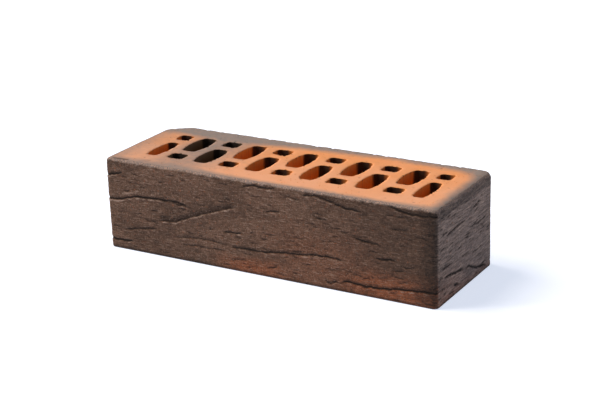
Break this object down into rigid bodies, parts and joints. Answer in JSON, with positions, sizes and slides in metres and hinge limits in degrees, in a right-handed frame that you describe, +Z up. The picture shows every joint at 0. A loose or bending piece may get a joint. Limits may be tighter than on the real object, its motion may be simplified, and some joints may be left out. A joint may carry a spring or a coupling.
{
  "type": "perforated clay facing brick",
  "caption": "Rectangular perforated clay facing brick with staggered long and square through-holes between its bed faces and one worn corner, laid in courses.",
  "frame": {"origin": "middle of the lower bed face, halfway along the length and the width", "axes": "+X along the stretcher length, +Y from the front stretcher face to the back one, +Z up from the lower bed face along the holes"},
  "size_m": [0.25, 0.085, 0.065],
  "materials": {
    "fired_clay": "matt, rough"
  },
  "bodies": {
    "root": {"clay_brick": "fired_clay"}
  },
  "joints": []
}
